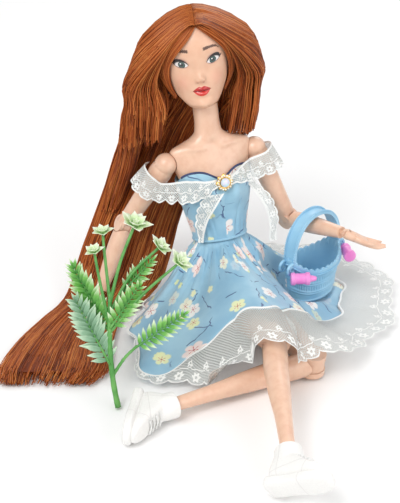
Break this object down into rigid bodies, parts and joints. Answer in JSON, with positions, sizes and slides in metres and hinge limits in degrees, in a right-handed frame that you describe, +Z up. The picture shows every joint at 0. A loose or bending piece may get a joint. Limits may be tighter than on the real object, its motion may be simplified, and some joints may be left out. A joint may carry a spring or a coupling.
{
  "type": "jointed fashion doll",
  "caption": "Seated jointed fashion doll in a flowered dress with lace, holding a small moulded carrier, beside an artificial flower sprig.",
  "frame": {"origin": "on the floor under the middle of the hips, at the flat of the seat", "axes": "+Z up, the legs toward -Y, the doll's own left side at +X"},
  "size_m": [0.1906, 0.223, 0.1477],
  "materials": {
    "skin": "satin vinyl",
    "hair": "silky synthetic fibre",
    "dress": "printed satin",
    "lace": "net lace",
    "sneaker": "satin",
    "gilt": "polished",
    "stone": "glossy",
    "carrier": "satin moulded",
    "bottle": "glossy",
    "stem": "satin",
    "leaf": "satin",
    "petal": "satin"
  },
  "bodies": {
    "torso": {"torso_front": "skin", "torso_back": "skin", "pelvis": "skin", "bodice": "dress", "skirt": "dress", "hem_lace": "lace", "right_frill": "lace", "left_frill": "lace", "right_lace_tail": "lace", "left_lace_tail": "lace", "brooch_setting": "gilt", "brooch_stone": "stone"},
    "neck": {"neck_knob": "skin"},
    "head": {"head": "skin", "hair_crown": "hair", "hair_left_lock": "hair", "hair_right_lock": "hair", "hair_fall": "hair"},
    "right_shoulder": {"right_shoulder_hub": "skin"},
    "right_upper_arm": {"right_upper_arm": "skin", "right_elbow_pin": "skin"},
    "right_forearm": {"right_forearm": "skin"},
    "right_wrist": {"right_wrist_peg": "skin"},
    "right_hand": {"right_hand": "skin"},
    "right_hip": {"right_hip_hub": "skin"},
    "right_thigh": {"right_thigh": "skin", "right_knee_pin": "skin"},
    "right_shin": {"right_shin": "skin"},
    "right_foot": {"right_foot": "skin", "right_sneaker": "sneaker"},
    "left_shoulder": {"left_shoulder_hub": "skin"},
    "left_upper_arm": {"left_upper_arm": "skin", "left_elbow_pin": "skin"},
    "left_forearm": {"left_forearm": "skin"},
    "left_wrist": {"left_wrist_peg": "skin"},
    "left_hand": {"left_hand": "skin"},
    "left_hip": {"left_hip_hub": "skin"},
    "left_thigh": {"left_thigh": "skin", "left_knee_pin": "skin"},
    "left_shin": {"left_shin": "skin"},
    "left_foot": {"left_foot": "skin", "left_sneaker": "sneaker"},
    "carrier": {"carrier": "carrier", "near_bottle": "bottle", "far_bottle": "bottle"},
    "sprig": {"sprig_stem": "stem", "fern_1": "leaf", "fern_2": "leaf", "fern_3": "leaf", "fern_4": "leaf", "fern_5": "leaf", "flower_1": "petal", "flower_2": "petal", "flower_3": "petal", "flower_4": "petal", "flower_5": "petal"}
  },
  "joints": [
    {"name": "neck_turn", "type": "hinge", "parent": "torso", "child": "neck", "pos_m": [-0.01125, 0.01801, 0.11092], "axis": [-0.1123, 0.1798, 0.9773], "range_deg": [-45, 45], "deforming": ["hair_left_lock", "hair_right_lock", "hair_fall"]},
    {"name": "head_nod", "type": "hinge", "parent": "neck", "child": "head", "pos_m": [-0.01125, 0.01801, 0.11092], "axis": [0.9754, 0.2139, 0.0542], "range_deg": [-4, 5]},
    {"name": "right_shoulder_swing", "type": "hinge", "parent": "torso", "child": "right_shoulder", "pos_m": [-0.028, 0.00416, 0.07655], "axis": [-0.9357, -0.3503, -0.0431], "range_deg": [0, 40], "deforming": ["right_frill", "right_lace_tail"]},
    {"name": "right_shoulder_raise", "type": "hinge", "parent": "right_shoulder", "child": "right_upper_arm", "pos_m": [-0.028, 0.00416, 0.07655], "axis": [-0.3437, 0.8766, 0.3369], "range_deg": [0, 55]},
    {"name": "right_elbow_bend", "type": "hinge", "parent": "right_upper_arm", "child": "right_forearm", "pos_m": [-0.04903, 0.00972, 0.04063], "axis": [-0.8384, -0.3199, 0.4414], "range_deg": [0, 38]},
    {"name": "right_wrist_turn", "type": "hinge", "parent": "right_forearm", "child": "right_wrist", "pos_m": [-0.06159, -0.00241, 0.008], "axis": [-0.3393, -0.3276, -0.8818], "range_deg": [-60, 60]},
    {"name": "right_wrist_bend", "type": "hinge", "parent": "right_wrist", "child": "right_hand", "pos_m": [-0.06159, -0.00241, 0.008], "axis": [-0.866, 0.5, 0], "range_deg": [-35, 35]},
    {"name": "left_shoulder_swing", "type": "hinge", "parent": "torso", "child": "left_shoulder", "pos_m": [0.01317, 0.01957, 0.07845], "axis": [-0.9357, -0.3503, -0.0431], "range_deg": [0, 25], "deforming": ["left_frill", "left_lace_tail"]},
    {"name": "left_shoulder_raise", "type": "hinge", "parent": "left_shoulder", "child": "left_upper_arm", "pos_m": [0.01317, 0.01957, 0.07845], "axis": [0.3329, -0.9165, 0.2218], "range_deg": [0, 40]},
    {"name": "left_elbow_bend", "type": "hinge", "parent": "left_upper_arm", "child": "left_forearm", "pos_m": [0.03091, 0.01682, 0.04048], "axis": [-0.6579, -0.7082, -0.2561], "range_deg": [-20, 8]},
    {"name": "left_wrist_turn", "type": "hinge", "parent": "left_forearm", "child": "left_wrist", "pos_m": [0.05682, -0.00909, 0.04556], "axis": [0.7004, -0.7004, 0.1374], "range_deg": [-60, 60]},
    {"name": "left_wrist_bend", "type": "hinge", "parent": "left_wrist", "child": "left_hand", "pos_m": [0.05682, -0.00909, 0.04556], "axis": [0.1045, -0.9945, 0], "range_deg": [-35, 35]},
    {"name": "right_hip_swing", "type": "hinge", "parent": "torso", "child": "right_hip", "pos_m": [-0.01034, -0.00376, 0.013], "axis": [-0.9397, -0.342, 0], "range_deg": [0, 40], "deforming": ["skirt", "hem_lace"]},
    {"name": "right_hip_spread", "type": "hinge", "parent": "right_hip", "child": "right_thigh", "pos_m": [-0.01034, -0.00376, 0.013], "axis": [0.0467, -0.1283, -0.9906], "range_deg": [0, 20]},
    {"name": "right_knee_bend", "type": "hinge", "parent": "right_thigh", "child": "right_shin", "pos_m": [0.02039, -0.06594, 0.0225], "axis": [0.5329, 0.1358, -0.8352], "range_deg": [-20, 0]},
    {"name": "right_ankle_bend", "type": "hinge", "parent": "right_shin", "child": "right_foot", "pos_m": [0.0239, -0.14317, 0.01218], "axis": [0.5329, 0.1358, -0.8352], "range_deg": [-12, 12]},
    {"name": "left_hip_swing", "type": "hinge", "parent": "torso", "child": "left_hip", "pos_m": [0.01034, 0.00376, 0.013], "axis": [-0.9397, -0.342, 0], "range_deg": [-15, 0]},
    {"name": "left_hip_spread", "type": "hinge", "parent": "left_hip", "child": "left_thigh", "pos_m": [0.01034, 0.00376, 0.013], "axis": [0.0311, -0.0854, 0.9959], "range_deg": [0, 20]},
    {"name": "left_knee_bend", "type": "hinge", "parent": "left_thigh", "child": "left_shin", "pos_m": [0.03869, -0.05992, 0.00666], "axis": [-0.0431, 0.08, -0.9959], "range_deg": [-20, 0]},
    {"name": "left_ankle_bend", "type": "hinge", "parent": "left_shin", "child": "left_foot", "pos_m": [-0.02999, -0.0969, 0.00666], "axis": [-0.0431, 0.08, -0.9959], "range_deg": [-12, 12]},
    {"name": "carrier_swing", "type": "hinge", "parent": "left_forearm", "child": "carrier", "pos_m": [0.04231, 0.00542, 0.04272], "axis": [0.7004, -0.7004, 0.1374], "range_deg": [-8, 20]},
    {"name": "sprig_lift", "type": "slide", "parent": "torso", "child": "sprig", "axis": [0, 0, 1], "range_m": [0, 0.08]}
  ]
}
